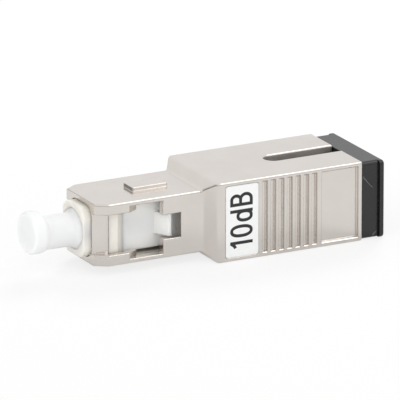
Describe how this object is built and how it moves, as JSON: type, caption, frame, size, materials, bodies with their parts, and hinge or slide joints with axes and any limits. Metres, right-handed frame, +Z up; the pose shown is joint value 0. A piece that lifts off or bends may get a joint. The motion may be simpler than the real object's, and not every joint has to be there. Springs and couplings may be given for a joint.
{
  "type": "fibre optic attenuator",
  "caption": "Fixed in-line fibre optic attenuator: push-pull plug with a ceramic ferrule at one end, latching socket at the other, both closed by dust covers.",
  "frame": {"origin": "centre of the bounding box's underside, on the bottom of the wide body, below the middle of the length", "axes": "+X along the optical axis from the plug end to the socket end, +Z up to the key side, +Y away from the label side"},
  "size_m": [0.043, 0.0126, 0.0096],
  "materials": {
    "nickel_plate": "satin nickel plate on a die-casting",
    "label_paper": "matt",
    "ivory_plastic": "fine moulded",
    "white_plastic": "fine moulded",
    "zirconia": "ground and polished",
    "doped_glass": "polished end faces",
    "steel": "drawn and turned",
    "soft_white": "soft, slightly translucent",
    "soft_black": "fine moulded"
  },
  "bodies": {
    "housing": {"housing": "nickel_plate", "label": "label_paper"},
    "core": {"plug_frame": "ivory_plastic", "inner_body": "white_plastic", "spring": "steel", "split_sleeve": "zirconia", "latch_insert": "ivory_plastic"},
    "ferrule_unit": {"ferrule": "zirconia", "ferrule_collar": "steel", "attenuating_fibre": "doped_glass"},
    "front_cover": {"dust_cap": "soft_white"},
    "rear_cover": {"rear_dust_plug": "soft_black"}
  },
  "joints": [
    {"name": "push_pull", "type": "slide", "parent": "housing", "child": "core", "axis": [1, 0, 0], "range_m": [0, 0.001]},
    {"name": "ferrule_float", "type": "slide", "parent": "core", "child": "ferrule_unit", "axis": [1, 0, 0], "range_m": [0, 0.0008], "stiffness_N_per_m": 100, "deforming": ["spring"]},
    {"name": "dust_cap_off", "type": "slide", "parent": "ferrule_unit", "child": "front_cover", "axis": [-1, 0, 0], "range_m": [0, 0.01]},
    {"name": "dust_plug_out", "type": "slide", "parent": "housing", "child": "rear_cover", "axis": [1, 0, 0], "range_m": [0, 0.01]}
  ]
}
